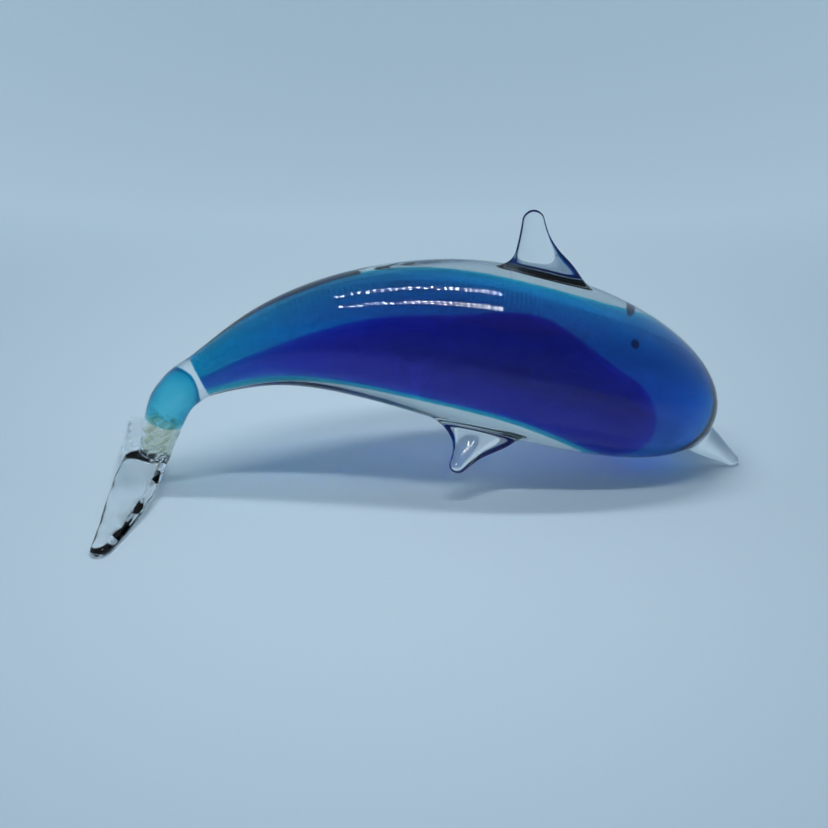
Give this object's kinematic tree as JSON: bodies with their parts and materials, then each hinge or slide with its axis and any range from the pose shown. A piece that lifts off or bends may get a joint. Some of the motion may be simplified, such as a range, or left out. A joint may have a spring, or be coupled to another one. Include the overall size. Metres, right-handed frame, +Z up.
{
  "type": "glass dolphin figurine",
  "caption": "Hand-worked cased-glass dolphin, arched, with a blue core in clear glass and clear fins, beak and tail flukes, resting on its beak and fluke tips.",
  "frame": {"origin": "middle of the figurine's footprint, on the table that the beak and fluke tips rest on", "axes": "+X towards the head along the longest extent, +Z up, +Y towards the dolphin's left side"},
  "size_m": [0.1958, 0.0872, 0.0806],
  "materials": {
    "clear_crystal": "fire-polished clear crystal",
    "blue_glass": "transparent mid-blue coloured layer",
    "cobalt_glass": "dense cobalt coloured core",
    "dark_glass": "opaque dark glass dot"
  },
  "bodies": {
    "root": {"clear_casing": "clear_crystal", "blue_overlay": "blue_glass", "cobalt_core": "cobalt_glass", "tail_stem": "clear_crystal", "fluke_left": "clear_crystal", "fluke_right": "clear_crystal", "dorsal_fin": "clear_crystal", "pectoral_fin_left": "clear_crystal", "pectoral_fin_right": "clear_crystal", "beak": "clear_crystal", "eye_left": "dark_glass", "eye_right": "dark_glass"}
  },
  "joints": []
}
